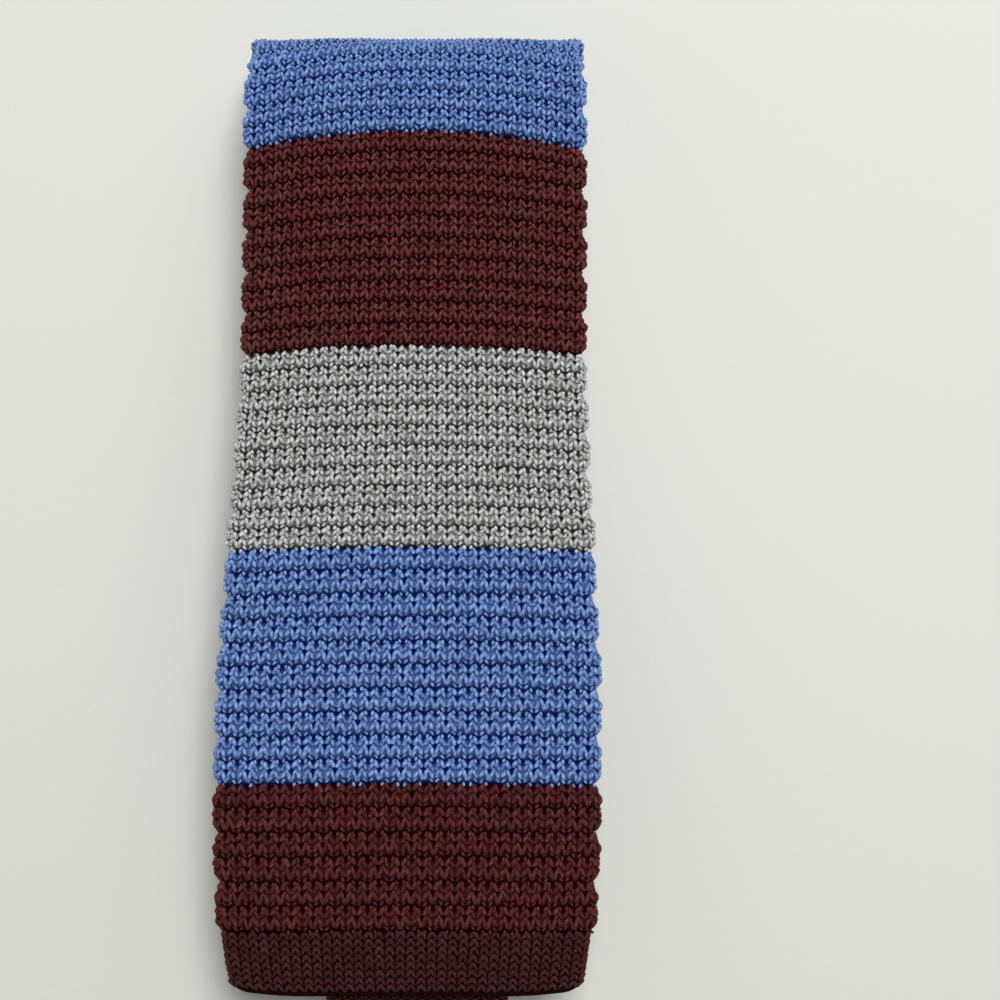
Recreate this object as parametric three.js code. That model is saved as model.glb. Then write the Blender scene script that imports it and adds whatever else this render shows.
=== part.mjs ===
// A knitted necktie, folded in half and then pleated, and laid flat, the way it is sold or stored.
//
// The tie is one long flat tube of two knitted plies, in stripes of three yarns, with a band of
// plain knitting at each end. The wide front blade lies on top, face up, with its hem towards -Y.
// The tube turns over at the +Y end and runs back underneath. The tie was first folded in half,
// tail under blade, and the doubled strip was then pleated, so the narrow tail lies right under
// the blade and just shows past the front hem.
//
// Millimetres. +Z is up, +Y points from the hem to the fold, and the origin is on the face that
// the tie rests on, under the middle of its outline.

import * as THREE from "three";

// The tie laid out flat.
const tieLength = 1464;
const bladeWidth = 61.6;
const neckWidth = 29;
const tailWidth = 31;

// The knitted tube.
const plyThickness = 1.0;
const plyGap = 0.3; // air between the two plies
const stripeGap = 0.3; // clearance between one yarn's stripe and the next

// The plain-knit bands at the two ends.
const hemLength = 10.8;
const hemTopPull = 0.7; // how far each side of the band is drawn in where it leaves the stripes
const hemEndPull = 2.0; // and at its end
const hemCorner = 2.2; // plan radius of the end's corners
const hemSeam = 1.4; // closed length at the very end

// The way it is folded.
const pleats = 5; // of the strip that was first folded in half
const layerGap = 0.3; // air between one layer and the next
const foldSlack = 0.6; // how much further than a half circle the bigger folds reach
const foldPull = 1.0; // how far each side is drawn in on the fold that shows
const foldSetback = 8; // how far the hidden folds stop short of the front hem
const foldDroop = 8; // how far the top layer has come down at the end of the fold
const foldDroopReach = 18; // the length over which it comes down
const tailShow = 4; // how far the tail reaches past the front hem
const hemDroop = 1.8; // how far the front hem hangs down past the hidden folds
const sideSag = 1.8; // how far the blade's sides hang below its middle
const rowBow = 3.4; // how far the rows arch towards the fold at their middle
const hemBow = 0.5; // the same arch near the hem
const edgeBump = 0.7; // how far the edge of the blade swells out every second row

// One full stripe of the narrow part of the tie. The blade is knitted looser or tighter from
// stripe to stripe: the table gives each one's length as a share of this, and how many times its
// edges swell.
const stripeLength = 33.5;
const bladeStripes = [
  { yarn: "burgundy", share: 0.7, bumps: 3 },
  { yarn: "blue", share: 1.12, bumps: 5 },
  { yarn: "grey", share: 0.95, bumps: 5 },
  { yarn: "burgundy", share: 1.015, bumps: 5 },
  { yarn: "blue", share: 1.0, bumps: 5 },
];
const yarnOrder = ["burgundy", "blue", "grey"];
const hemYarn = "burgundy";

// Where the tube is how wide, from the front hem to the tail, as shares of the tie's length.
// "blade" is the share of the blade's extra width over the neck's that is left there, and "tail"
// the same for the tail's.
const widthTable = [
  { at: 0.0, blade: 0.92, tail: 0 },
  { at: 0.01, blade: 0.97, tail: 0 },
  { at: 0.018, blade: 1.0, tail: 0 },
  { at: 0.033, blade: 0.99, tail: 0 },
  { at: 0.049, blade: 0.91, tail: 0 },
  { at: 0.059, blade: 0.84, tail: 0 },
  { at: 0.071, blade: 0.79, tail: 0 },
  { at: 0.106, blade: 0.77, tail: 0 },
  { at: 0.138, blade: 0.74, tail: 0 },
  { at: 0.206, blade: 0.54, tail: 0 },
  { at: 0.3, blade: 0.28, tail: 0 },
  { at: 0.42, blade: 0.08, tail: 0 },
  { at: 0.5, blade: 0.0, tail: 0 },
  { at: 0.8, blade: 0.0, tail: 0.2 },
  { at: 1.0, blade: 0.0, tail: 1 },
];

// How far the layers lie out of line, sideways, at the hem, at each fold in turn and at the tail,
// as shares of one layer's thickness.
const sidewaysShares = [-0.6, 0.05, -0.3, 0.3, -0.3, 0.2, -0.2, 0.4, -0.3, 0.3, 0.1];

// How finely the solids are faceted.
const edgeSteps = 3; // flats round each side edge of the tube
const longestStep = 36; // along a straight stretch
const shortestStep = 0.3;
const foldSteps = { big: 6, small: 4 }; // round a fold
const sampleStep = 0.4; // spacing of the sampled centre line
const bladeColumns = [0.4, 0.3, 0.12]; // the flat part's lengthwise edges, as shares of its width
const hiddenColumns = [0.25];

const tubeThickness = 2 * plyThickness + plyGap;
const layerPitch = tubeThickness + layerGap;
const layerCount = 2 * pleats;
const stackHeight = layerCount * layerPitch - layerGap;

const clamp01 = (t) => Math.min(1, Math.max(0, t));
const smooth = (t) => clamp01(t) ** 2 * (3 - 2 * clamp01(t));
const mix = (a, b, t) => a + (b - a) * t;

// The strip's segments are numbered from the front hem to the tail. Halved, segment i lies on the
// one as far from the other end, and every second pair is turned over when the strip is pleated.
// Gives the segment in each layer, from the top of the stack to the bottom.
const stack = Array.from({ length: pleats }, (_, i) => {
  const pair = [i, layerCount - 1 - i];
  return i % 2 === 0 ? pair : pair.reverse();
}).flat();
const layerOf = (segment) => stack.indexOf(segment);
const layerHeight = (segment) =>
  tubeThickness / 2 + (layerCount - 1 - layerOf(segment)) * layerPitch;

// The fold after each segment: half an ellipse that joins its layer to the next segment's.
const folds = Array.from({ length: layerCount - 1 }, (_, segment) => {
  const rise = (layerHeight(segment) - layerHeight(segment + 1)) / 2;
  const height = Math.abs(rise);
  const reach = height + foldSlack * (height - layerPitch / 2);
  const sum = 3 * (reach + height) - Math.sqrt((3 * reach + height) * (reach + 3 * height));
  const middle = (layerHeight(segment) + layerHeight(segment + 1)) / 2;
  const upper = Math.min(layerOf(segment), layerOf(segment + 1));
  const lower = Math.max(layerOf(segment), layerOf(segment + 1));
  const length = (Math.PI / 2) * sum;
  return { rise, height, reach, middle, upper, lower, atNorth: segment % 2 === 0, length };
});
const longestReach = Math.max(...folds.map((fold) => fold.reach));

// A fold inside another one starts level with it; the outermost ones end level with each other.
for (const fold of folds) {
  const nested = folds.some(
    (other) =>
      other.atNorth === fold.atNorth && other.upper < fold.upper && other.lower > fold.lower,
  );
  fold.shift = nested ? 0 : longestReach - fold.reach;
  if (!fold.atNorth) fold.shift -= foldSetback + longestReach;
}

// The length of the top layer's straight stretch, from the hem to where the fold begins, so that
// all the layers and folds together have the tie's length.
const bends = folds.reduce((sum, fold) => sum + fold.length + 2 * fold.shift, 0);
const topRun = (tieLength - tailShow - bends) / layerCount;

// Where each segment starts and ends, towards the hem and towards the fold.
function segmentEnds(segment) {
  const north = folds[segment % 2 === 0 ? segment : segment - 1];
  const south = folds[segment % 2 === 0 ? segment - 1 : segment];
  const tailEnd = segment === layerCount - 1 ? tailShow : 0;
  return { north: north.shift, south: south ? -topRun - south.shift : -topRun - tailEnd };
}

// The front hem and the tail hang down a little where no layer carries them.
function droop(segment, y) {
  if (segment > 0 && segment < layerCount - 1) return 0;
  return hemDroop * Math.max(0, (foldSetback - topRun - y) / foldSetback) ** 2;
}

// The tube's centre line in the Y-Z plane, as evenly spaced samples, with the fold's start at
// y = 0. "knots" are the lengths along it where the solids need a section.
const droopShares = [1, 0.72, 0.46, 0.22];
const foldEnd = longestReach + tubeThickness / 2;
const northStops = droopShares.map((share) => foldEnd - share * foldDroopReach);
const southStops = droopShares.slice(0, 3).map((share) => (1 - share) * -foldSetback);
const stops = [...northStops, ...southStops.map((y) => y + foldSetback - topRun)];

function sampleCentreLine() {
  const line = [];
  const knots = [];
  let length = 0;
  const push = (y, z) => {
    const before = line.at(-1);
    if (before) length += Math.hypot(y - before.y, z - before.z);
    line.push({ y, z, s: length });
  };
  for (let segment = 0; segment < layerCount; segment += 1) {
    const z = layerHeight(segment);
    const goesNorth = segment % 2 === 0;
    const { north, south } = segmentEnds(segment);
    const steps = Math.ceil((north - south) / sampleStep);
    const yAt = (i) => (goesNorth ? mix(south, north, i / steps) : mix(north, south, i / steps));
    for (let i = 0; i <= steps; i += 1) {
      push(yAt(i), z - droop(segment, yAt(i)));
      const passed = stops.some((y) => Math.abs(yAt(i) - y) <= (north - south) / steps / 2);
      if (passed || i === 0 || i === steps) knots.push(length);
    }
    if (segment === layerCount - 1) break;

    const { rise, height, reach, middle, atNorth, length: foldLength } = folds[segment];
    const outward = atNorth ? reach : -reach;
    const foldStart = atNorth ? north : south;
    const facets = height > layerPitch ? foldSteps.big : foldSteps.small;
    const samplesPerFacet = Math.ceil(foldLength / facets / sampleStep);
    const samples = samplesPerFacet * facets;
    for (let i = 1; i < samples; i += 1) {
      const angle = (Math.PI * i) / samples;
      push(foldStart + outward * Math.sin(angle), middle + rise * Math.cos(angle));
      if (i % samplesPerFacet === 0) knots.push(length);
    }
  }
  return { line, knots, length };
}

const centre = sampleCentreLine();
const outerFoldMiddle = topRun + folds[0].length / 2;

// Position and direction at a length along the centre line.
function along(s) {
  const { line } = centre;
  let low = 0;
  let high = line.length - 1;
  while (high - low > 1) {
    const half = (low + high) >> 1;
    if (line[half].s <= s) low = half;
    else high = half;
  }
  while (line[high].s - line[low].s < 1e-6) high += 1;
  const a = line[low];
  const b = line[high];
  const share = (s - a.s) / (b.s - a.s);
  const size = Math.hypot(b.y - a.y, b.z - a.z);
  return {
    y: mix(a.y, b.y, share),
    z: mix(a.z, b.z, share),
    ty: (b.y - a.y) / size,
    tz: (b.z - a.z) / size,
  };
}

// The direction, averaged over a short stretch, so that sections turn evenly round a fold.
function heading(s) {
  const reach = sampleStep;
  const a = along(Math.max(0, s - reach));
  const b = along(Math.min(centre.length, s + reach));
  const size = Math.hypot(b.y - a.y, b.z - a.z);
  return { ty: (b.y - a.y) / size, tz: (b.z - a.z) / size };
}

// The tube's width in the stripes, drawn in a little where the outer fold turns.
function width(s) {
  const at = clamp01(s / centre.length);
  const next = Math.max(1, widthTable.findIndex((row) => row.at >= at));
  const a = widthTable[next - 1];
  const b = widthTable[next];
  const share = smooth((at - a.at) / (b.at - a.at));
  const blade = mix(a.blade, b.blade, share) * (bladeWidth - neckWidth);
  const tail = mix(a.tail, b.tail, share) * (tailWidth - neckWidth);
  const fold = Math.max(0, 1 - Math.abs(s - outerFoldMiddle) / folds[0].height);
  return neckWidth + blade + tail - 2 * foldPull * smooth(fold);
}

// How far the layer at that length lies sideways.
function sideways(s) {
  const place = clamp01(s / centre.length) * layerCount;
  const first = Math.min(layerCount - 1, Math.floor(place));
  const share = mix(sidewaysShares[first], sidewaysShares[first + 1], smooth(place - first));
  return share * tubeThickness;
}

// How much the rows arch there: most at the outer fold, and less away from it.
function bow(s) {
  const share = clamp01(1 - Math.abs(s - outerFoldMiddle) / outerFoldMiddle);
  const fade = clamp01((centre.length - s) / outerFoldMiddle);
  return (hemBow + rowBow * share ** 3) * Math.min(1, fade, s / hemLength);
}

// How far a point of the top layer sinks because the layers under it are narrower.
function sag(s, x, halfWidth) {
  const onTop = 1 - smooth((s - topRun + foldDroopReach) / foldDroopReach);
  const flatShare = 2 * bladeColumns[1];
  const outside = Math.max(0, Math.abs(x) / halfWidth - flatShare) / (1 - flatShare);
  return sideSag * onTop * outside ** 1.5;
}

// How much of its height the whole stack has there: it is pressed down towards the fold's end.
function press(y) {
  return 1 - (foldDroop / stackHeight) * clamp01(1 - (foldEnd - y) / foldDroopReach) ** 2;
}

// A point of the tube: s along it, x across it from its middle, and n out of its front face.
function place(s, x, n) {
  const halfWidth = width(s) / 2;
  const bowed = Math.min(centre.length, Math.max(0, s - bow(s) * (x / halfWidth) ** 2));
  const { y, z } = along(bowed);
  const { ty, tz } = heading(bowed);
  const out = n - sag(s, x, halfWidth);
  const placedY = y - tz * out;
  return [sideways(s) + x, placedY, (z + ty * out) * press(placedY)];
}

// The outline of a flattened tube, round at its two sides, counterclockwise seen along +Y.
function outline(fullWidth, thickness, columns) {
  const r = thickness / 2;
  const points = [];
  for (const side of [1, -1]) {
    for (let i = 0; i <= edgeSteps; i += 1) {
      const angle = Math.PI * (i / edgeSteps - 0.5);
      points.push([side * (fullWidth / 2 - r + r * Math.cos(angle)), side * r * Math.sin(angle)]);
    }
    for (const share of columns) points.push([side * share * fullWidth, side * r]);
    for (const share of columns.toReversed()) points.push([-side * share * fullWidth, side * r]);
  }
  return points;
}

// A closed solid from a list of outer sections and a list of inner ones. The hollow runs through,
// except at an end where the tube is closed.
function tubeSolid({ outer, inner, columns, closedStart = false, closedEnd = false }) {
  const positions = [];
  const indices = [];
  const addRing = ({ s, width: ringWidth, thickness }) => {
    const first = positions.length / 3;
    for (const [x, n] of outline(ringWidth, thickness, columns)) positions.push(...place(s, x, n));
    return first;
  };
  const outerRings = outer.map(addRing);
  const innerRings = inner.map(addRing);
  const ringSize = outline(1, 0, columns).length;
  const triangle = (a, b, c, flipped) => indices.push(...(flipped ? [a, c, b] : [a, b, c]));
  const band = (from, to, flipped) => {
    for (let i = 0; i < ringSize; i += 1) {
      const j = (i + 1) % ringSize;
      triangle(from + i, to + i, from + j, flipped);
      triangle(from + j, to + i, to + j, flipped);
    }
  };
  const lid = (ring, flipped) => {
    const middle = positions.length / 3;
    const sum = [0, 0, 0];
    for (let i = 0; i < ringSize; i += 1)
      for (let axis = 0; axis < 3; axis += 1)
        sum[axis] += positions[3 * (ring + i) + axis] / ringSize;
    positions.push(...sum);
    for (let i = 0; i < ringSize; i += 1)
      triangle(middle, ring + i, ring + ((i + 1) % ringSize), flipped);
  };
  outerRings.slice(1).forEach((ring, i) => band(outerRings[i], ring, false));
  innerRings.slice(1).forEach((ring, i) => band(innerRings[i], ring, true));
  if (closedStart) {
    lid(outerRings[0], false);
    lid(innerRings[0], true);
  } else band(innerRings[0], outerRings[0], false);
  if (closedEnd) {
    lid(outerRings.at(-1), true);
    lid(innerRings.at(-1), false);
  } else band(outerRings.at(-1), innerRings.at(-1), false);

  const geometry = new THREE.BufferGeometry();
  geometry.setAttribute("position", new THREE.Float32BufferAttribute(positions, 3));
  geometry.setIndex(indices);
  geometry.computeVertexNormals();
  return geometry;
}

// The lengths at which a piece from start to end has sections.
function stations(start, end) {
  const between = (s) => s > start + shortestStep && s < end - shortestStep;
  const fixed = [start, ...centre.knots.filter(between), end];
  const all = [start];
  for (let i = 1; i < fixed.length; i += 1) {
    const parts = Math.ceil((fixed[i] - fixed[i - 1]) / longestStep);
    for (let part = 1; part <= parts; part += 1)
      all.push(mix(fixed[i - 1], fixed[i], part / parts));
  }
  return all;
}

const yarns = {
  burgundy: new THREE.MeshStandardMaterial({ color: 0x6a2a30, roughness: 0.75, metalness: 0 }),
  blue: new THREE.MeshStandardMaterial({ color: 0x6f8fce, roughness: 0.75, metalness: 0 }),
  grey: new THREE.MeshStandardMaterial({ color: 0xa9aaa8, roughness: 0.75, metalness: 0 }),
};

const tie = new THREE.Group();

function addPiece(name, yarn, geometry) {
  const mesh = new THREE.Mesh(geometry, yarns[yarn]);
  mesh.name = name;
  tie.add(mesh);
}

function addStripe(name, { yarn, start, end, bumps, columns }) {
  const steps = 2 * (bumps ?? 0);
  const swells = Array.from({ length: steps + 1 }, (_, i) => mix(start, end, i / steps));
  const at = steps > 0 ? merged(swells, stations(start, end)) : stations(start, end);
  const swell = (s) =>
    steps > 0 ? edgeBump * Math.cos((Math.PI * steps * (s - start)) / (end - start)) : 0;
  const outer = at.map((s) => ({ s, width: width(s) - swell(s), thickness: tubeThickness }));
  const inner = stations(start, end).map((s) => ({
    s,
    width: width(s) - edgeBump - 2 * plyThickness,
    thickness: plyGap,
  }));
  addPiece(name, yarn, tubeSolid({ outer, inner, columns }));
}

// Two sorted lists of lengths as one, without those of the second that are nearly in the first.
function merged(first, second) {
  const near = (s) => first.some((other) => Math.abs(other - s) < shortestStep);
  return [...first, ...second.filter((s) => !near(s))].sort((a, b) => a - b);
}

// A plain-knit band, narrower than the stripes, with round corners and a closed end. "depth" is
// the distance in from the tie's end.
function addHem(name, atTail) {
  const edge = atTail ? centre.length : 0;
  const along1 = (depth) => (atTail ? edge - depth : depth);
  const fullWidth = (depth) => {
    const pull = mix(hemEndPull, hemTopPull, depth / hemLength);
    const share = atTail ? tailWidth / bladeWidth : 1;
    const corner = hemCorner * share;
    const round = corner - Math.sqrt(corner ** 2 - Math.max(0, corner - depth) ** 2);
    return width(along1(hemLength)) - 2 * (pull * share + round);
  };
  const top = atTail ? hemLength - stripeGap : hemLength;
  const depths = [0, 0.12 * hemCorner, 0.4 * hemCorner, hemCorner, hemLength / 2, top];
  const outer = depths.map((depth) => ({
    s: along1(depth),
    width: fullWidth(depth),
    thickness: tubeThickness * mix(0.55, 1, clamp01((2 * depth) / hemCorner)),
  }));
  const inner = [hemSeam, 2 * hemSeam, top].map((depth) => ({
    s: along1(depth),
    width: fullWidth(depth) - 2 * plyThickness,
    thickness: plyGap,
  }));
  if (atTail) {
    outer.reverse();
    inner.reverse();
  }
  const columns = atTail ? hiddenColumns : bladeColumns;
  addPiece(name, hemYarn, tubeSolid({ outer, inner, columns, closedStart: !atTail, closedEnd: atTail }));
}

// The stripes, one after the other. The blade's have the table's lengths, and the rest share what
// is left, up to the tail's plain band. Their number is such that the last one has the hem's yarn.
addHem("front_hem", false);
const stripes = [];
let start = hemLength;
for (const { yarn, share, bumps } of bladeStripes) {
  stripes.push({ yarn, bumps, start, end: start + share * stripeLength });
  start = stripes.at(-1).end;
}
const stretchLeft = centre.length - hemLength - start;
const cycles = Math.round((stretchLeft / stripeLength + stripes.length - 1) / yarnOrder.length);
const restCount = cycles * yarnOrder.length + 1 - stripes.length;
for (let i = 0; i < restCount; i += 1) {
  const yarn = yarnOrder[stripes.length % yarnOrder.length];
  stripes.push({ yarn, start, end: start + stretchLeft / restCount });
  start = stripes.at(-1).end;
}
stripes.forEach((stripe, i) => {
  const number = String(i + 1).padStart(2, "0");
  const columns = i <= bladeStripes.length ? bladeColumns : hiddenColumns;
  const start = stripe.start + stripeGap;
  addStripe(`stripe_${number}_${stripe.yarn}`, { ...stripe, start, columns });
});
addHem("tail_hem", true);

// The middle of the outline goes to the origin.
const middle = new THREE.Box3().setFromObject(tie).getCenter(new THREE.Vector3());
tie.children.forEach((mesh) => mesh.geometry.translate(-middle.x, -middle.y, 0));

export default tie;
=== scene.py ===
"""A knitted necktie, folded and lying flat: its cloth, stitches, yarns, floor, light and camera.

The cloth follows the same folded line as the solids. Lengths are in millimetres until the meshes
are made. On the cloth, "s" runs along the tie from the front hem's end, "w" round the tube from
the middle of its front face, and "h" out of its surface. In a layer's own frame, "x" runs across
the tie and "n" out of the middle of the tube.
"""

import math

import bpy
import numpy as np
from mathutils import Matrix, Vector


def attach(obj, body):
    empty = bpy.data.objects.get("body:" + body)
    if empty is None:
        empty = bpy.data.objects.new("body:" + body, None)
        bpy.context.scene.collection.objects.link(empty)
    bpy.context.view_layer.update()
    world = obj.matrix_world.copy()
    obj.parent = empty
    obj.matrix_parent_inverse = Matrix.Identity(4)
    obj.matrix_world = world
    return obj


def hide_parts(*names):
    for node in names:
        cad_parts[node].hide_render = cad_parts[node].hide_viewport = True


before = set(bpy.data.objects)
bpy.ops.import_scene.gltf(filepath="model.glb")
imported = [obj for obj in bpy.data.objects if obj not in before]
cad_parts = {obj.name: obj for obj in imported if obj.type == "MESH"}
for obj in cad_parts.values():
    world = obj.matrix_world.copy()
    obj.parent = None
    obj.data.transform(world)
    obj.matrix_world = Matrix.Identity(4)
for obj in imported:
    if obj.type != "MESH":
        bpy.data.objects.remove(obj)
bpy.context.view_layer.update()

MM = 0.001
rng = np.random.default_rng(7)

# Sizes, the same as the solids'.
TIE_LENGTH = 1464.0
BLADE_WIDTH = 61.6
NECK_WIDTH = 29.0
TAIL_WIDTH = 31.0
PLY = 1.0
PLY_GAP = 0.3
HEM_LENGTH = 10.8
HEM_TOP_PULL = 0.7
HEM_END_PULL = 2.0
HEM_CORNER = 2.2
HEM_SEAM = 1.4
PLEATS = 5
LAYER_GAP = 0.3
FOLD_SLACK = 0.6
FOLD_PULL = 1.0
FOLD_SETBACK = 8.0
FOLD_DROOP = 8.0
FOLD_DROOP_REACH = 18.0
TAIL_SHOW = 4.0
HEM_DROOP = 1.8
SIDE_SAG = 1.8
SAG_START = 0.6
SAG_POWER = 1.5
ROW_BOW = 3.4
HEM_BOW = 0.5
EDGE_BUMP = 0.7
STRIPE_LENGTH = 33.5
HIDDEN_ROWS = 10
YARN_ORDER = ["burgundy", "blue", "grey"]

# The stripes that show: yarn, length as a share of the stripe's length, number of rows, how much
# the knobs and ticks fill the valleys between the rows, and how much painted shade darkens the
# stripe (below zero, painted light).
BLADE_STRIPES = [
    ("burgundy", 0.7, 6, 0.1, 0.65),
    ("blue", 1.12, 10, 0.3, 0.0),
    ("grey", 0.95, 10, 1.2, 0.1),
    ("burgundy", 1.015, 10, 0.2, -0.1),
    ("blue", 1.0, 10, 1.1, 0.25),
]

# How wide the tie is along its length: the place as a share of the length, the share of the way
# from the neck's width to the blade's, and of the way from the neck's width to the tail's.
WIDTH_TABLE = np.array([
    (0.0, 0.92, 0.0),
    (0.01, 0.97, 0.0),
    (0.018, 1.0, 0.0),
    (0.033, 0.99, 0.0),
    (0.049, 0.91, 0.0),
    (0.059, 0.84, 0.0),
    (0.071, 0.79, 0.0),
    (0.106, 0.77, 0.0),
    (0.138, 0.74, 0.0),
    (0.206, 0.54, 0.0),
    (0.3, 0.28, 0.0),
    (0.42, 0.08, 0.0),
    (0.5, 0.0, 0.0),
    (0.8, 0.0, 0.2),
    (1.0, 0.0, 1.0),
])
WIDTH_AT, WIDTH_BLADE, WIDTH_TAIL = WIDTH_TABLE.T

# How far each layer's ends lie sideways, in tube thicknesses.
SIDEWAYS = np.array([-0.6, 0.05, -0.3, 0.3, -0.3, 0.2, -0.2, 0.4, -0.3, 0.3, 0.1])

TUBE = 2 * PLY + PLY_GAP
PITCH = TUBE + LAYER_GAP
LAYERS = 2 * PLEATS
STACK = LAYERS * PITCH - LAYER_GAP
R_EDGE = TUBE / 2
PATH_STEP = 0.1
HEADING_REACH = 0.4
RUN_POINTS = 12

# The tie is centred sideways on this much of its blade, sampled at so many places.
CENTRED_TO = 90.0
CENTRING_SAMPLES = 800

# Knitting: wales on one face, the notch of a long V below its row's top in rows, the rib's height.
WALES = 36
NOTCH = 0.37
RIB_HEIGHT = 0.6
RIB_ROUNDING = 0.8


def smooth(t):
    """Eases from 0 to 1 while t goes from 0 to 1."""
    t = np.clip(t, 0, 1)
    return t * t * (3 - 2 * t)


# The folded line.


def stacking_order():
    """The layers' numbers along the tie, from the top of the stack down."""
    order = []
    for i in range(PLEATS):
        pair = [i, LAYERS - 1 - i]
        order += pair if i % 2 == 0 else pair[::-1]
    return order


ORDER = stacking_order()


def layer_height(layer):
    """How high the middle of a layer lies."""
    return TUBE / 2 + (LAYERS - 1 - ORDER.index(layer)) * PITCH


def make_folds():
    """The half ellipses that lead from each layer to the next, and how far out each begins."""
    made = []
    for layer in range(LAYERS - 1):
        rise = (layer_height(layer) - layer_height(layer + 1)) / 2
        height = abs(rise)
        reach = height + FOLD_SLACK * (height - PITCH / 2)
        girth = 3 * (reach + height) - math.sqrt((3 * reach + height) * (reach + 3 * height))
        upper, lower = sorted((ORDER.index(layer), ORDER.index(layer + 1)))
        made.append(dict(
            rise=rise, height=height, reach=reach, upper=upper, lower=lower,
            north=layer % 2 == 0, length=math.pi / 2 * girth,
            middle=(layer_height(layer) + layer_height(layer + 1)) / 2,
        ))
    longest = max(fold["reach"] for fold in made)
    for fold in made:
        alike = [other for other in made if other["north"] == fold["north"]]
        nested = any(other["upper"] < fold["upper"] and other["lower"] > fold["lower"] for other in alike)
        fold["shift"] = 0.0 if nested else longest - fold["reach"]
        if not fold["north"]:
            fold["shift"] -= FOLD_SETBACK + longest
    return made, longest


FOLDS, LONGEST_REACH = make_folds()
TOP_RUN = (TIE_LENGTH - TAIL_SHOW - sum(f["length"] + 2 * f["shift"] for f in FOLDS)) / LAYERS
FOLD_END = LONGEST_REACH + TUBE / 2
FOLD_MIDDLE = TOP_RUN + FOLDS[0]["length"] / 2


def sample_path():
    """The centre line as points (y, z), one path step apart, and the length up to each."""
    ys, zs = [], []
    for layer in range(LAYERS):
        forward = layer % 2 == 0
        north = FOLDS[layer if forward else layer - 1]["shift"]
        if layer == 0:
            south = -TOP_RUN
        elif layer == LAYERS - 1:
            south = -TOP_RUN - TAIL_SHOW
        else:
            south = -TOP_RUN - FOLDS[layer - 1 if forward else layer]["shift"]
        count = int((north - south) / PATH_STEP) + 1
        y = np.linspace(south, north, count) if forward else np.linspace(north, south, count)
        drop = np.zeros_like(y)
        if layer in (0, LAYERS - 1):
            drop = HEM_DROOP * np.maximum(0, (FOLD_SETBACK - TOP_RUN - y) / FOLD_SETBACK) ** 2
        ys.append(y)
        zs.append(layer_height(layer) - drop)
        if layer == LAYERS - 1:
            break
        fold = FOLDS[layer]
        count = int(fold["length"] / PATH_STEP)
        angle = np.pi * np.arange(1, count) / count
        start, out = (north, fold["reach"]) if fold["north"] else (south, -fold["reach"])
        ys.append(start + out * np.sin(angle))
        zs.append(fold["middle"] + fold["rise"] * np.cos(angle))
    y, z = np.concatenate(ys), np.concatenate(zs)
    s = np.concatenate([[0], np.cumsum(np.hypot(np.diff(y), np.diff(z)))])
    return s, y, z


PATH_S, PATH_Y, PATH_Z = sample_path()
PATH_LENGTH = PATH_S[-1]


def along(s):
    """The centre line's y and z."""
    return np.interp(s, PATH_S, PATH_Y), np.interp(s, PATH_S, PATH_Z)


def heading(s):
    """The direction of the centre line."""
    ay, az = along(np.maximum(0, s - HEADING_REACH))
    by, bz = along(np.minimum(PATH_LENGTH, s + HEADING_REACH))
    size = np.hypot(by - ay, bz - az)
    return (by - ay) / size, (bz - az) / size


def width(s):
    """The tube's width without the swelling of its sides."""
    at = np.clip(s / PATH_LENGTH, 0, 1)
    i = np.clip(np.searchsorted(WIDTH_AT, at, side="left"), 1, len(WIDTH_AT) - 1)
    share = smooth((at - WIDTH_AT[i - 1]) / (WIDTH_AT[i] - WIDTH_AT[i - 1]))
    blade = WIDTH_BLADE[i - 1] + (WIDTH_BLADE[i] - WIDTH_BLADE[i - 1]) * share
    tail = WIDTH_TAIL[i - 1] + (WIDTH_TAIL[i] - WIDTH_TAIL[i - 1]) * share
    fold = np.maximum(0, 1 - np.abs(s - FOLD_MIDDLE) / FOLDS[0]["height"])
    return (NECK_WIDTH + blade * (BLADE_WIDTH - NECK_WIDTH) + tail * (TAIL_WIDTH - NECK_WIDTH)
            - 2 * FOLD_PULL * smooth(fold))


def sideways(s):
    """How far the centre line lies to the side."""
    at = np.clip(s / PATH_LENGTH, 0, 1) * LAYERS
    first = np.minimum(LAYERS - 1, np.floor(at)).astype(int)
    t = smooth(at - first)
    return (SIDEWAYS[first] * (1 - t) + SIDEWAYS[first + 1] * t) * TUBE


def bow(s):
    """How far a row's ends trail its middle."""
    share = np.clip(1 - np.abs(s - FOLD_MIDDLE) / FOLD_MIDDLE, 0, 1)
    fade = np.clip((PATH_LENGTH - s) / FOLD_MIDDLE, 0, 1)
    return (HEM_BOW + ROW_BOW * share**3) * np.minimum(1, np.minimum(fade, s / HEM_LENGTH))


def sag(s, x, half):
    """How far the top layer's sides hang down."""
    on_top = 1 - smooth((s - TOP_RUN + FOLD_DROOP_REACH) / FOLD_DROOP_REACH)
    outside = np.maximum(0, np.abs(x) / half - SAG_START) / (1 - SAG_START)
    return SIDE_SAG * on_top * outside**SAG_POWER


def place(s, x, n):
    """A point of the folded tie, before it is centred."""
    half = width(s) / 2
    bowed = np.clip(s - bow(s) * (x / half) ** 2, 0, PATH_LENGTH)
    y, z = along(bowed)
    ty, tz = heading(bowed)
    out = n - sag(s, x, half)
    py = y - tz * out
    press = 1 - (FOLD_DROOP / STACK) * np.clip(1 - (FOLD_END - py) / FOLD_DROOP_REACH, 0, 1) ** 2
    return np.stack([sideways(s) + x, py, (z + ty * out) * press], axis=-1)


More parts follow.
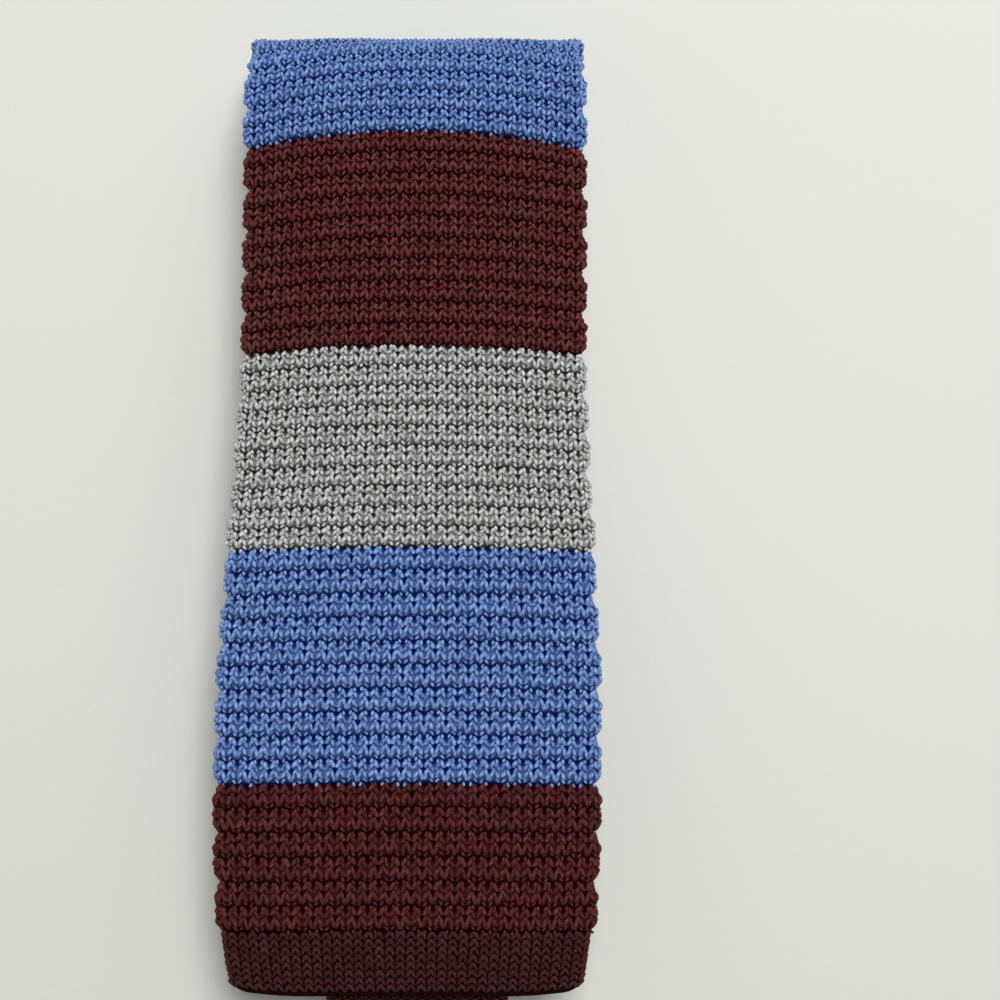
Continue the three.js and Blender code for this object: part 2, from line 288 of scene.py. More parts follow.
def hem_width(depth, at_tail):
    """A hem's width at a depth from its end: drawn in, with round corners."""
    share = TAIL_WIDTH / BLADE_WIDTH if at_tail else 1.0
    pull = HEM_END_PULL + (HEM_TOP_PULL - HEM_END_PULL) * depth / HEM_LENGTH
    corner = HEM_CORNER * share
    inset = corner - np.sqrt(np.maximum(0, corner**2 - np.maximum(0, corner - depth) ** 2))
    top = width(np.array(PATH_LENGTH - HEM_LENGTH if at_tail else HEM_LENGTH))
    return top - 2 * (pull * share + inset)


# The stripes.


def make_stripes():
    """Every stripe's name, yarn, start, end and number of rows, from the front hem on."""
    made = []
    start = HEM_LENGTH
    for yarn, share, rows, fill, painted_stripe_shade in BLADE_STRIPES:
        end = start + share * STRIPE_LENGTH
        made.append(dict(yarn=yarn, start=start, end=end, rows=rows, fill=fill, painted_stripe_shade=painted_stripe_shade))
        start = made[-1]["end"]
    left = PATH_LENGTH - HEM_LENGTH - start
    yarns = len(YARN_ORDER)
    cycles = round((left / STRIPE_LENGTH + len(made) - 1) / yarns)
    rest = cycles * yarns + 1 - len(made)
    for _ in range(rest):
        yarn = YARN_ORDER[len(made) % yarns]
        made.append(dict(yarn=yarn, start=start, end=start + left / rest, rows=HIDDEN_ROWS))
        start = made[-1]["end"]
    for number, stripe in enumerate(made, 1):
        stripe["name"] = f"stripe_{number:02d}_{stripe['yarn']}"
        stripe["row"] = (stripe["end"] - stripe["start"]) / stripe["rows"]
    return made


STRIPES = make_stripes()
ROUNDING = 1e-6


def striped_width(s):
    """The tube's width where its sides swell every second row."""
    bump = np.zeros_like(s)
    for stripe in STRIPES:
        inside = (s >= stripe["start"] - ROUNDING) & (s <= stripe["end"] + ROUNDING)
        phase = np.pi * stripe["rows"] * (s - stripe["start"]) / (stripe["end"] - stripe["start"])
        bump = np.where(inside, -EDGE_BUMP * np.cos(phase), bump)
    return width(s) + bump


def middle_x():
    """The middle between the blade's leftmost and rightmost points."""
    s = np.linspace(HEM_LENGTH, CENTRED_TO, CENTRING_SAMPLES)
    half = striped_width(s) / 2
    return ((sideways(s) + half).max() + (sideways(s) - half).min()) / 2


CENTRE = np.array([middle_x(), (FOLD_END - TOP_RUN - TAIL_SHOW) / 2, 0.0])


def half_round(full):
    """Half the way round a tube of this width."""
    return full - 2 * R_EDGE + np.pi * R_EDGE


def wrap(w, full):
    """Counts the way past the middle of the back face as negative."""
    whole = 2 * half_round(full)
    return np.where(w > whole / 2, w - whole, w)


def surf(s, w, h, full):
    """A point on, above or below the surface of a tube of this width."""
    flat = full / 2 - R_EDGE
    side = np.where(w < 0, -1.0, 1.0)
    past = np.abs(w) - flat
    angle = np.clip(past / R_EDGE, 0, np.pi)
    beyond = np.maximum(0, past - np.pi * R_EDGE)
    x = np.where(past < 0, np.abs(w), flat + (R_EDGE + h) * np.sin(angle) - beyond)
    n = (R_EDGE + h) * np.cos(angle)
    return place(s, side * x, n) - CENTRE


def rib(y):
    """The rows' rounded ribs, 0 in the valleys and 1 on the crests, for y in rows from a notch."""
    return (0.5 - 0.5 * np.cos(2 * np.pi * (y - (1 - NOTCH)))) ** RIB_ROUNDING


# Meshes.


def add_object(name, verts, faces, material, uv, tone=None):
    """A smooth-shaded object from points, arrays of faces, a UV and a tone for every point."""
    mesh = bpy.data.meshes.new(name)
    mesh.vertices.add(len(verts))
    mesh.vertices.foreach_set("co", np.asarray(verts, np.float32).ravel() * MM)
    sizes = np.concatenate([np.full(len(f), f.shape[1]) for f in faces])
    loops = np.concatenate([f.ravel() for f in faces]).astype(np.int32)
    starts = np.concatenate([[0], np.cumsum(sizes)[:-1]]).astype(np.int32)
    mesh.loops.add(len(loops))
    mesh.loops.foreach_set("vertex_index", loops)
    mesh.polygons.add(len(sizes))
    mesh.polygons.foreach_set("loop_start", starts)
    mesh.polygons.foreach_set("use_smooth", np.ones(len(sizes), bool))
    layer = mesh.uv_layers.new(name="UVMap")
    layer.data.foreach_set("uv", uv[loops].astype(np.float32).ravel())
    if tone is not None:
        values = mesh.attributes.new("tone", "FLOAT", "POINT").data
        values.foreach_set("value", tone.astype(np.float32))
    mesh.update()
    mesh.validate()
    obj = bpy.data.objects.new(name, mesh)
    bpy.context.collection.objects.link(obj)
    mesh.materials.append(material)
    return obj


def unit(vectors):
    """Vectors scaled to length 1."""
    return vectors / np.linalg.norm(vectors, axis=-1, keepdims=True)


STRAND_SIDES = 6
UP_STEP = 0.1
UV_SPREAD = 20


def strands(name, s, w, h, radius, tone, full, material):
    """Strokes of yarn: in every array one row for a stroke and one column for a point along it."""
    count, steps = s.shape
    points = surf(s, w, h, full)
    ahead = unit(np.gradient(points, axis=1))
    up = unit(surf(s, w, h + UP_STEP, full) - surf(s, w, h - UP_STEP, full))
    side = unit(np.cross(ahead, up))
    up = np.cross(side, ahead)
    angle = (2 * np.pi * np.arange(STRAND_SIDES) / STRAND_SIDES)[None, None, :, None]
    ring = np.cos(angle) * side[:, :, None] + np.sin(angle) * up[:, :, None]
    verts = points[:, :, None] + radius[:, :, None, None] * ring
    index = np.arange(count * steps * STRAND_SIDES).reshape(count, steps, STRAND_SIDES)
    a, b = index[:, :-1], index[:, 1:]
    quads = np.stack([a, np.roll(a, -1, 2), np.roll(b, -1, 2), b], -1).reshape(-1, 4)
    caps = np.concatenate([index[:, 0, ::-1], index[:, -1]]).reshape(-1, STRAND_SIDES)
    lengths = np.linalg.norm(np.diff(points, axis=1), axis=-1)
    length = np.concatenate([np.zeros((count, 1)), np.cumsum(lengths, 1)], 1)
    length = length + rng.uniform(0, UV_SPREAD, (count, 1))
    turn = (np.arange(STRAND_SIDES) / STRAND_SIDES)[None, None]
    uv = np.stack(np.broadcast_arrays(length[:, :, None], turn), -1)
    tone = np.broadcast_to(tone[:, :, None], (count, steps, STRAND_SIDES))
    return add_object(name, verts.reshape(-1, 3), [quads, caps], material, uv.reshape(-1, 2), tone.ravel())


def jitter(size, count):
    """A random number for each stroke."""
    return rng.normal(0, size, (count, 1))


# Each wale's strokes over two rows, mirrored left and right, down from the long V's notch. They
# run from (x0, y0) to (x1, y1), with x as a share of the wale's width and y in rows. Then come the
# bulge outwards on the way, the height over the ribs in mm at the start, the middle and the end,
# the radius as a share of the wale's width, the painted light on the stroke for where it lies in
# the stitch (below zero, painted shade), and how much the radius grows where the valleys are filled.
STROKES = {
    "long": (0.45, -0.06, 0.09, 0.49, -0.30, -0.20, 0.06, -0.08, 0.185, 0.1, 0.005),
    "knob": (0.36, 0.54, 0.25, 0.70, 0.0, 0.0, 0.22, 0.0, 0.135, 0.5, 0.03),
    "dull": (0.50, 0.70, 0.08, 1.00, 0.0, -0.20, -0.05, -0.10, 0.185, -0.7, 0.005),
    "bold": (0.45, 1.03, 0.10, 1.34, 0.10, -0.20, 0.07, -0.04, 0.200, 0.1, 0.0),
    "thin": (0.41, 1.36, 0.13, 1.54, 0.0, -0.06, 0.08, -0.08, 0.120, 0.2, 0.025),
    "short": (0.45, 1.60, 0.11, 1.91, 0.14, -0.08, 0.16, 0.04, 0.205, 0.3, 0.0),
}
FILL_RISE = 1.4
STEPS = 5
TAPER = np.array([[0.62, 0.94, 1.02, 0.96, 0.62]])
Y_JITTER = 0.018
Y_RUN_JITTER = 0.022
X_JITTER = 0.014
X_RUN_JITTER = 0.018
HEIGHT_JITTER = 0.03
RADIUS_JITTER = 0.07


def pattern_strokes(stripe):
    """The strokes of one stripe: s, w, h and radius of every point, and each stroke's tone."""
    start, end, row = stripe["start"], stripe["end"], stripe["row"]
    wales = np.arange(-1, WALES + 1)
    repeats = np.arange(-1, stripe["rows"] // 2 + 1)
    t = np.linspace(0, 1, STEPS)[None]
    out = []
    for x0, y0, x1, y1, bulge, h0, h1, h2, r, painted_light, fuller in STROKES.values():
        more = fuller * stripe["fill"]
        grids = np.meshgrid(wales, repeats, [-1.0, 1.0], indexing="ij")
        k, j, side = (grid.reshape(-1, 1) for grid in grids)
        n = len(k)
        y = y0 + jitter(Y_JITTER, n) + (y1 - y0 + jitter(Y_RUN_JITTER, n)) * t
        x = x0 + jitter(X_JITTER, n) + (x1 - x0 + jitter(X_RUN_JITTER, n)) * t + bulge * t * (1 - t)
        s = end - (NOTCH + 2 * j + (k % 2)) * row - y * row
        middle = s.mean(1)
        keep = (middle > start) & (middle < end)
        h = h0 * (1 - t) ** 2 + h2 * t**2 + 2 * (2 * h1 - (h0 + h2) / 2) * t * (1 - t)
        h = h + jitter(HEIGHT_JITTER, n) + RIB_HEIGHT * (rib(y) - 1) + FILL_RISE * more
        s = np.clip(s, 0.0, PATH_LENGTH)
        pitch = half_round(width(s)) / WALES
        w = (k - (WALES - 1) / 2 + side * x) * pitch
        radius = (r + more) * pitch * TAPER * (1 + jitter(RADIUS_JITTER, n))
        # A stroke's tone: painted light or shade for its part of the stitch, a random part, less the
        # stripe's painted shade.
        tone = painted_light + rng.uniform(0, 1, (n, 1)) - stripe["painted_stripe_shade"]
        out.append([values[keep] for values in (s, w, h, radius, tone)])
    return [np.concatenate(parts) for parts in zip(*out)]


def tube_ring(full, columns, edge_columns):
    """w at the points round a tube: its front face, right side, back face and left side."""
    flat = full[:, None] / 2 - R_EDGE
    side = np.pi * R_EDGE
    turn = np.linspace(0, 1, edge_columns + 1)[None, :-1]
    front = np.linspace(-1, 1, columns + 1)[None, :-1] * flat
    right = flat + turn * side
    back = flat + side + np.linspace(0, 1, columns + 1)[None, :-1] * 2 * flat
    left = -(flat + side) + turn * side
    return wrap(np.concatenate([front, right, back, left], 1), full[:, None])


def band(a, b):
    """Quads between two rings of points."""
    return np.stack([a, np.roll(a, -1, -1), np.roll(b, -1, -1), b], -1).reshape(-1, 4)


def cloth_tube(name, outside, inside, material, columns, edge_columns, closed=None):
    """The cloth: a tube with walls, open at both ends unless one is closed.

    Each ring of its outside has an s, a width and a height over the solid's surface, and each
    ring of its inside an s and a width.
    """
    outer_s, outer_full, outer_h = outside
    inner_s, inner_full = inside
    outer_w = tube_ring(outer_full, columns, edge_columns)
    s = np.broadcast_to(outer_s[:, None], outer_w.shape)
    outer = surf(s, outer_w, outer_h[:, None], outer_full[:, None])

    inner_w = tube_ring(inner_full, columns, edge_columns)
    flat = inner_full[:, None] / 2 - R_EDGE
    past = np.clip((np.abs(inner_w) - flat) / R_EDGE, 0, np.pi)
    beyond = np.maximum(0, np.abs(inner_w) - flat - np.pi * R_EDGE)
    r = PLY_GAP / 2
    x = np.where(np.abs(inner_w) < flat, np.abs(inner_w), flat + r * np.sin(past) - beyond)
    x = x * np.where(inner_w < 0, -1.0, 1.0)
    t = np.broadcast_to(inner_s[:, None], x.shape)
    inner = place(t, x, r * np.cos(past)) - CENTRE

    across = outer.shape[1]
    o = np.arange(len(outer_s) * across).reshape(-1, across)
    q = o.size + np.arange(len(inner_s) * across).reshape(-1, across)
    faces = [band(o[:-1], o[1:]), band(q[1:], q[:-1])]
    faces += [o[0][None, ::-1], q[0][None]] if closed == "start" else [band(q[0][None], o[0][None])]
    faces += [o[-1][None], q[-1][None, ::-1]] if closed == "end" else [band(o[-1][None], q[-1][None])]
    verts = np.concatenate([outer.reshape(-1, 3), inner.reshape(-1, 3)])
    outer_uv = np.stack([outer_w, s], -1).reshape(-1, 2)
    inner_uv = np.stack([inner_w, t], -1).reshape(-1, 2)
    return add_object(name, verts, faces, material, np.concatenate([outer_uv, inner_uv]))


def count_rows(cloth, end, row):
    """Turns a cloth's UVs from millimetres to wales and rows, counted from its end."""
    layer = cloth.data.uv_layers[0]
    uv = np.empty(len(cloth.data.loops) * 2, np.float32)
    layer.data.foreach_get("uv", uv)
    uv = uv.reshape(-1, 2)
    pitch = half_round(width(uv[:, 1])) / WALES
    counted = np.stack([uv[:, 0] / pitch, (uv[:, 1] - end) / row], 1)
    layer.data.foreach_set("uv", counted.astype(np.float32).ravel())


# Materials.


def rgb(r, g, b):
    """An sRGB colour as a linear one."""
    shares = [c / 255 for c in (r, g, b)]
    linear = [c / 12.92 if c <= 0.04045 else ((c + 0.055) / 1.055) ** 2.4 for c in shares]
    return (*linear, 1.0)


# Each yarn's colours: the strands' brighter and darker shades, a painted shadow colour for the depths
# between them, and the flecks and patches of another tint. The hem's colours are the burgundy
# yarn's, painted darker as shade.
YARNS = {
    "burgundy": dict(
        light=rgb(126, 66, 67), dark=rgb(86, 32, 35), painted_shadow=rgb(34, 0, 1),
        fleck=rgb(132, 40, 54), cast=rgb(116, 28, 48),
    ),
    "blue": dict(
        light=rgb(158, 194, 250), dark=rgb(102, 140, 210), painted_shadow=rgb(2, 20, 84),
        fleck=rgb(118, 146, 224), cast=rgb(118, 142, 206),
    ),
    "grey": dict(
        light=rgb(238, 238, 238), dark=rgb(189, 189, 189), painted_shadow=rgb(38, 38, 37),
        fleck=rgb(226, 226, 222), cast=rgb(206, 206, 200),
    ),
    # The burgundy yarn's colours again, painted darker as shade at the hem.
    "hem": dict(
        light=rgb(94, 46, 48), dark=rgb(58, 18, 20), painted_shadow=rgb(24, 0, 1),
        fleck=rgb(84, 28, 36), cast=rgb(74, 22, 30),
    ),
}
SHEEN_ROUGHNESS = 0.6
YARN_ROUGHNESS = 0.8
YARN_SHEEN = 0.04
DEPTH_ROUGHNESS = 0.9
DEPTH_SPECULAR = 0.02
FLOOR_ROUGHNESS = 0.85
PATCH_SCALE = 420.0


class Nodes:
    """A material, with short calls that add nodes to it."""

    def __init__(self, name, roughness, sheen=0.0, specular=0.1):
        self.mat = bpy.data.materials.new(name)
        self.mat.use_nodes = True
        self.tree = self.mat.node_tree
        self.bsdf = self.tree.nodes["Principled BSDF"]
        self.bsdf.inputs["Roughness"].default_value = roughness
        self.bsdf.inputs["Sheen Weight"].default_value = sheen
        self.bsdf.inputs["Sheen Roughness"].default_value = SHEEN_ROUGHNESS
        self.bsdf.inputs["Specular IOR Level"].default_value = specular

    def put(self, socket, value):
        """Links an output to a socket, or sets the socket to a plain value."""
        if hasattr(value, "is_output"):
            self.tree.links.new(value, socket)
        else:
            socket.default_value = value

    def math(self, operation, *values, clamp=False):
        node = self.tree.nodes.new("ShaderNodeMath")
        node.operation = operation
        node.use_clamp = clamp
        for socket, value in zip(node.inputs, values):
            self.put(socket, value)
        return node.outputs[0]

    def add(self, a, b, clamp=False):
        return self.math("ADD", a, b, clamp=clamp)

    def sub(self, a, b, clamp=False):
        return self.math("SUBTRACT", a, b, clamp=clamp)

    def mul(self, a, b, clamp=False):
        return self.math("MULTIPLY", a, b, clamp=clamp)

    def wave(self, turns):
        """A cosine of so many turns, between 0 and 1."""
        return self.math("MULTIPLY_ADD", self.math("COSINE", self.mul(turns, 2 * math.pi)), 0.5, 0.5)

    def mix(self, factor, a, b):
        node = self.tree.nodes.new("ShaderNodeMix")
        node.data_type = "RGBA"
        self.put(node.inputs[0], factor)
        self.put(node.inputs[6], a)
        self.put(node.inputs[7], b)
        return node.outputs[2]

    def coords(self, which):
        return self.tree.nodes.new("ShaderNodeTexCoord").outputs[which]

    def noise(self, scale, detail):
        node = self.tree.nodes.new("ShaderNodeTexNoise")
        node.inputs["Scale"].default_value = scale
        node.inputs["Detail"].default_value = detail
        self.tree.links.new(self.coords("Object"), node.inputs["Vector"])
        return node.outputs["Fac"]

    def attribute(self, name):
        node = self.tree.nodes.new("ShaderNodeAttribute")
        node.attribute_name = name
        return node.outputs["Fac"]

    def uv(self):
        node = self.tree.nodes.new("ShaderNodeSeparateXYZ")
        self.tree.links.new(self.coords("UV"), node.inputs[0])
        return node.outputs[0], node.outputs[1]

    def from_middle(self, wale):
        """How far a place is from the middle of its wale, in wales."""
        return self.math("ABSOLUTE", self.sub(self.math("FRACT", wale), 0.5))

    def finish(self, color, height, distance):
        """Sets the colour and a relief of the given depth in metres."""
        self.put(self.bsdf.inputs["Base Color"], color)
        bump = self.tree.nodes.new("ShaderNodeBump")
        bump.inputs["Distance"].default_value = distance
        self.put(bump.inputs["Height"], height)
        self.tree.links.new(bump.outputs[0], self.bsdf.inputs["Normal"])
        return self.mat


def strand_material(yarn):
    """Plied yarn: the twist of its two plies, painted shade in the groove between them, single fibres, and
    a shade of its own on each strand.
    """
    twist_per_mm, plies = 1.15, 2.0
    tone_share, patch_share = 0.45, 0.55
    fleck_scale, fleck_above, fleck_strength = 900.0, 0.66, 0.5
    cast_scale, cast_above, cast_slope, cast_strength = 210.0, 0.52, 5.0, 0.35
    groove_shade_strength = 0.35
    fibre_scale, twist_height, fibre_height, relief = 5200.0, 0.6, 0.8, 0.00012

    c = YARNS[yarn]
    m = Nodes(f"{yarn}_strand", YARN_ROUGHNESS, YARN_SHEEN)
    along_mm, around = m.uv()
    turns = m.add(m.mul(along_mm, twist_per_mm), m.mul(around, plies))
    twist = m.math("SINE", m.mul(turns, 2 * math.pi))
    patches = m.noise(PATCH_SCALE, 2.0)
    shade = m.add(m.mul(m.attribute("tone"), tone_share), m.mul(patches, patch_share), clamp=True)
    color = m.mix(shade, c["dark"], c["light"])
    fleck = m.math("GREATER_THAN", m.noise(fleck_scale, 1.0), fleck_above)
    color = m.mix(m.mul(fleck, fleck_strength), color, c["fleck"])
    cast = m.mul(m.sub(m.noise(cast_scale, 1.0), cast_above), cast_slope, clamp=True)
    color = m.mix(m.mul(cast, cast_strength), color, c["cast"])
    # Painted shade: the groove between the plies is painted towards the shadow colour.
    groove = m.sub(1.0, m.math("MULTIPLY_ADD", twist, 0.5, 0.5))
    color = m.mix(m.mul(groove, groove_shade_strength), color, c["painted_shadow"])
    fibres = m.noise(fibre_scale, 3.0)
    height = m.add(m.mul(twist, twist_height), m.mul(fibres, fibre_height))
    return m.finish(color, height, relief)


def shaded_depth_material(yarn):
    """The inside of the knit, seen between its strands, with painted shade that is heaviest in the valleys
    and the notches.
    """
    notch_size, notch_across, notch_down, notch_slope = 0.36, 1.1, 0.45, 9.0
    fibre_scale, fibre_share, least_share, relief = 3500.0, 0.4, 0.3, 0.0003

    c = YARNS[yarn]
    m = Nodes(f"{yarn}_depth", DEPTH_ROUGHNESS, specular=DEPTH_SPECULAR)
    wale, row = m.uv()
    # Painted shade: the depths go to the shadow colour away from the rows' crests and in the long V's
    # notches.
    crest = m.wave(m.sub(row, 0.5))
    odd = m.mul(m.math("FRACT", m.mul(m.math("FLOOR", wale), 0.5)), 2.0)
    down = m.sub(m.mul(row, -1.0), m.add(odd, NOTCH - 0.1))
    down = m.mul(m.math("FRACT", m.mul(down, 0.5)), 2.0)
    reach = m.add(m.mul(m.from_middle(wale), notch_across), m.mul(down, notch_down))
    notch = m.mul(m.sub(notch_size, reach), notch_slope, clamp=True)
    fibres = m.noise(fibre_scale, 3.0)
    share = m.mul(m.math("MULTIPLY_ADD", fibres, fibre_share, least_share), crest)
    share = m.mul(share, m.sub(1.0, notch))
    return m.finish(m.mix(share, c["painted_shadow"], c["dark"]), fibres, relief)


def cloth_material(yarn):
    """The same knit on the hidden layers, with its V's in the relief of the surface and painted shade
    where the relief is low.
    """
    v_slope, leg_rounding, groove_share, low_relief_shade = 1.4, 0.6, 0.6, 0.9
    fibre_scale, fibre_height, relief = 4200.0, 0.25, 0.0004

    c = YARNS[yarn]
    m = Nodes(f"{yarn}_cloth", YARN_ROUGHNESS, YARN_SHEEN)
    wale, row = m.uv()
    from_middle = m.from_middle(wale)
    phase = m.sub(m.mul(row, 2.0), m.mul(from_middle, v_slope))
    odd = m.math("FLOOR", m.mul(m.math("FRACT", m.mul(wale, 0.5)), 2.0))
    legs = m.wave(m.add(phase, m.mul(odd, 0.5)))
    groove = m.math("SINE", m.mul(m.mul(from_middle, 2.0), math.pi))
    groove = m.math("MULTIPLY_ADD", groove, groove_share, 1 - groove_share)
    height = m.mul(m.math("POWER", legs, leg_rounding), groove)
    color = m.mix(m.noise(PATCH_SCALE, 2.0), c["dark"], c["light"])
    # Painted shade: darker towards the shadow colour where the relief is low.
    color = m.mix(m.mul(m.sub(1.0, height, clamp=True), low_relief_shade), color, c["painted_shadow"])
    return m.finish(color, m.add(height, m.mul(m.noise(fibre_scale, 3.0), fibre_height)), relief)


STRAND = {yarn: strand_material(yarn) for yarn in YARNS}
SHADED_DEPTH = {yarn: shaded_depth_material(yarn) for yarn in YARNS}
CLOTH = {yarn: cloth_material(yarn) for yarn in YARNS}


# The tie.


def run_of(start, end):
    """Points (y, z) along one piece's centre line."""
    return np.stack(along(np.linspace(start, end, RUN_POINTS)), 1)


RUNS = {stripe["name"]: run_of(stripe["start"], stripe["end"]) for stripe in STRIPES}
RUNS["front_hem"] = run_of(0.0, HEM_LENGTH)
RUNS["tail_hem"] = run_of(PATH_LENGTH - HEM_LENGTH, PATH_LENGTH)


def finish_piece(node, cloth, stitches):
    """Attaches a node's cloth, and its stitches where it has them, to the root body, and hides the node's
    solid.
    """
    pieces = [cloth] + stitches
    for piece in pieces:
        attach(piece, "root")
        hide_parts(node)


# How finely each kind of stripe is made: mm between the outside's rings, how far its valleys lie
# under the solid's surface, how high its ribs rise from there, and the columns of its faces.
FRONT_CLOTH = dict(ring=0.7, low=-0.75, rib=0.45, columns=24, edge_columns=5)
HIDDEN_CLOTH = dict(ring=0.6, low=-0.22, rib=0.3, columns=10, edge_columns=4)
INNER_RING = 2.0
START_GAP = 0.02


def rings(start, end, spacing):
    """Places along the tie, evenly spaced."""
    return np.linspace(start, end, int((end - start) / spacing) + 1)


def add_stripe(stripe, shows):
    """One stripe: its cloth, with real stitches over it where it shows."""
    make = FRONT_CLOTH if shows else HIDDEN_CLOTH
    name, yarn = stripe["name"], stripe["yarn"]
    start, end = stripe["start"] + START_GAP, stripe["end"]
    outer, inner = rings(start, end, make["ring"]), rings(start, end, INNER_RING)
    full = striped_width(outer)
    height = make["low"] + make["rib"] * rib((end - outer) / stripe["row"] - NOTCH)
    cloth = cloth_tube(f"{name}_cloth", (outer, full, height), (inner, striped_width(inner)),
                       (SHADED_DEPTH if shows else CLOTH)[yarn], make["columns"], make["edge_columns"])
    count_rows(cloth, end, stripe["row"])
    stitches = []
    if shows:
        s, w, h, radius, tone = pattern_strokes(stripe)
        stitches = [strands(f"{name}_stitches", s, w, h, radius, tone, striped_width(s), STRAND[yarn])]
    finish_piece(name, cloth, stitches)


# The hems' plain knit: rows, points of a stitch, the rim below the last row, the depths of the
# cloth's rings from the end, and how far the cloth and the stitches sink in there.
HEM_ROWS = 8
HEM_STEPS = 7
HEM_RIM = 1.1
HEM_RINGS = np.concatenate([[0.02, 0.3, 0.7, 1.2, 1.8], np.linspace(2.4, HEM_LENGTH, 12)])
HEM_INNER_RINGS = np.linspace(HEM_SEAM, HEM_LENGTH, 6)
HEM_COLUMNS = 20
HEM_EDGE_COLUMNS = 5
HEM_CLOTH_LOW = 0.30
HEM_PINCH = 0.5
HEM_PINCH_REACH = 1.5
HEM_TOP_GAP = 0.05

# A hem's stitch: its middle in the row, its height and half its width as shares of the row and
# the wale, how sharply it bends, how low its middle and how much lower its ends lie in mm, and
# its radius as a share of the wale's width and how much that tapers.
STITCH_MIDDLE = 0.62
STITCH_HEIGHT = 0.95
STITCH_HALF_WIDTH = 0.40
STITCH_BEND = 1.5
STITCH_LOW = 0.10
STITCH_ENDS_LOWER = 0.26
STITCH_RADIUS = 0.20
STITCH_TAPER = 0.25
HEM_DEPTH_JITTER = 0.04
HEM_ACROSS_JITTER = 0.025
HEM_HEIGHT_JITTER = 0.02
HEM_RADIUS_JITTER = 0.06


def add_hem(node, at_tail, wales, past_wales):
    """One hem: its cloth, closed at the end, and plain stitches over it."""
    end, away = (PATH_LENGTH, -1) if at_tail else (0.0, 1)

    def pinch(depth):
        return HEM_PINCH * (1 - np.clip(depth / HEM_PINCH_REACH, 0, 1) ** 0.5)

    def tube_at(depth):
        depth = depth[::away]
        return end + away * depth, hem_width(depth, at_tail), -HEM_CLOTH_LOW - pinch(depth)

    outer = tube_at(HEM_RINGS)
    # The hem takes the burgundy yarn painted darker, as shade.
    cloth = cloth_tube(f"{node}_cloth", outer, tube_at(HEM_INNER_RINGS)[:2], SHADED_DEPTH["hem"], HEM_COLUMNS,
                       HEM_EDGE_COLUMNS, closed="end" if at_tail else "start")
    count_rows(cloth, end, HEM_LENGTH / HEM_ROWS)

    t = np.linspace(-1, 1, HEM_STEPS)[None]
    grids = np.meshgrid(np.arange(-past_wales, wales + past_wales), np.arange(HEM_ROWS), indexing="ij")
    k, j = (grid.reshape(-1, 1) for grid in grids)
    n = len(k)
    row = (HEM_LENGTH - HEM_RIM) / HEM_ROWS
    depth = HEM_RIM + row * (j + STITCH_MIDDLE) - row * (STITCH_HEIGHT * (np.abs(t) ** STITCH_BEND - 0.5))
    depth = np.clip(depth + jitter(HEM_DEPTH_JITTER, n), HEM_RIM / 2, HEM_LENGTH - HEM_TOP_GAP)
    full = hem_width(depth, at_tail)
    pitch = half_round(full) / wales
    across = k - (wales - 1) / 2 + STITCH_HALF_WIDTH * t + jitter(HEM_ACROSS_JITTER, n)
    h = -STITCH_LOW - STITCH_ENDS_LOWER * t**2 + jitter(HEM_HEIGHT_JITTER, n) - pinch(depth)
    radius = STITCH_RADIUS * pitch * (1 - STITCH_TAPER * t**2) * (1 + jitter(HEM_RADIUS_JITTER, n))
    tone = rng.uniform(0, 1, (n, 1))
    s, w = end + away * depth, wrap(across * pitch, full)
    stitches = strands(f"{node}_stitches", s, w, h, radius, tone, full, STRAND["hem"])
    finish_piece(node, cloth, [stitches])


for number, stripe in enumerate(STRIPES):
    add_stripe(stripe, shows=number < len(BLADE_STRIPES))
add_hem("front_hem", at_tail=False, wales=WALES, past_wales=2)
add_hem("tail_hem", at_tail=True, wales=WALES // 2, past_wales=WALES // 4)


# Floor, light and camera, in metres.

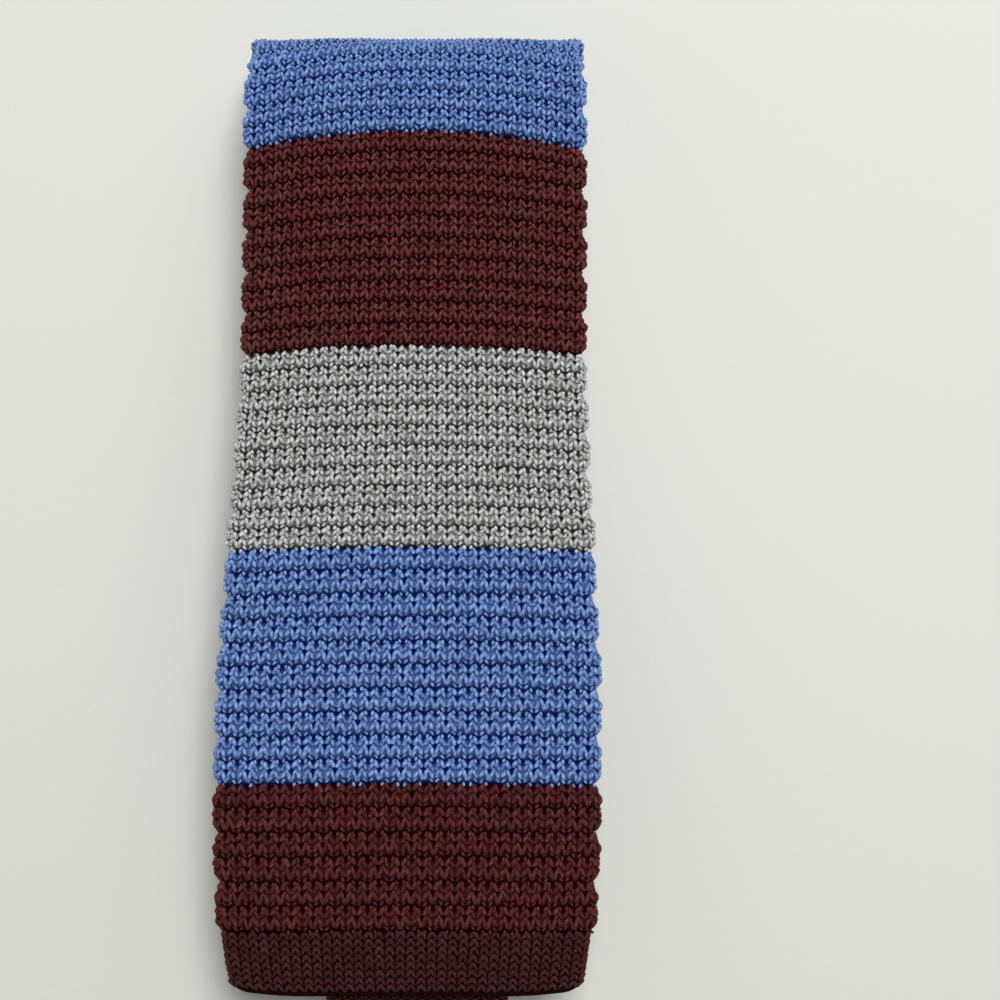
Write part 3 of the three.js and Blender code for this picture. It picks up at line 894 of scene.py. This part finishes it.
FLOOR_HALF = 3.0
FLOOR_DROP = 0.0003
FLOOR_PATCH_SCALE = 6.0
FLOOR_GRAIN_SCALE = 900.0
FLOOR_RELIEF = 0.00004
WORLD_COLOUR = (1.0, 1.0, 0.985, 1.0)
WORLD_STRENGTH = 0.21
CAMERA_AT = (0.0148, 0.0037, 0.311)
LENS_MM = 65.0
SENSOR_MM = 36.0

# Each light's name, place, target, size and power in watts.
LIGHTS = [
    ("key", (0.50, 0.42, 0.80), (0.0, 0.0, 0.0), 0.5, 0.6),
    ("overhead", (0.14, 0.35, 0.95), (0.0, 0.03, 0.0), 0.35, 8.0),
]


def add_floor():
    """A large sheet of pale paper, just under the tie."""
    mesh = bpy.data.meshes.new("floor")
    corners = [(x * FLOOR_HALF, y * FLOOR_HALF, 0) for x, y in ((-1, -1), (1, -1), (1, 1), (-1, 1))]
    mesh.from_pydata(corners, [], [(0, 1, 2, 3)])
    floor = bpy.data.objects.new("floor", mesh)
    floor.location.z = -FLOOR_DROP
    bpy.context.collection.objects.link(floor)
    m = Nodes("floor_paper", FLOOR_ROUGHNESS)
    color = m.mix(m.noise(FLOOR_PATCH_SCALE, 2.0), rgb(233, 234, 228), rgb(227, 228, 222))
    mesh.materials.append(m.finish(color, m.noise(FLOOR_GRAIN_SCALE, 3.0), FLOOR_RELIEF))


def add_light(name, at, target, size, power):
    """A square light that faces its target."""
    light = bpy.data.lights.new(name, "AREA")
    light.shape = "SQUARE"
    light.size = size
    light.energy = power
    obj = bpy.data.objects.new(name, light)
    obj.location = at
    obj.rotation_euler = (Vector(target) - Vector(at)).to_track_quat("-Z", "Y").to_euler()
    bpy.context.collection.objects.link(obj)


def add_world():
    """An even glow from all sides."""
    world = bpy.data.worlds.new("studio")
    world.use_nodes = True
    background = world.node_tree.nodes["Background"]
    background.inputs["Color"].default_value = WORLD_COLOUR
    background.inputs["Strength"].default_value = WORLD_STRENGTH
    bpy.context.scene.world = world


def add_camera():
    """A camera that looks straight down."""
    camera = bpy.data.cameras.new("camera")
    camera.sensor_width = SENSOR_MM
    camera.lens = LENS_MM
    view = bpy.data.objects.new("camera", camera)
    view.location = CAMERA_AT
    bpy.context.collection.objects.link(view)
    bpy.context.scene.camera = view


add_floor()
add_world()
for light in LIGHTS:
    add_light(*light)
add_camera()
bpy.context.scene.view_settings.view_transform = "Standard"
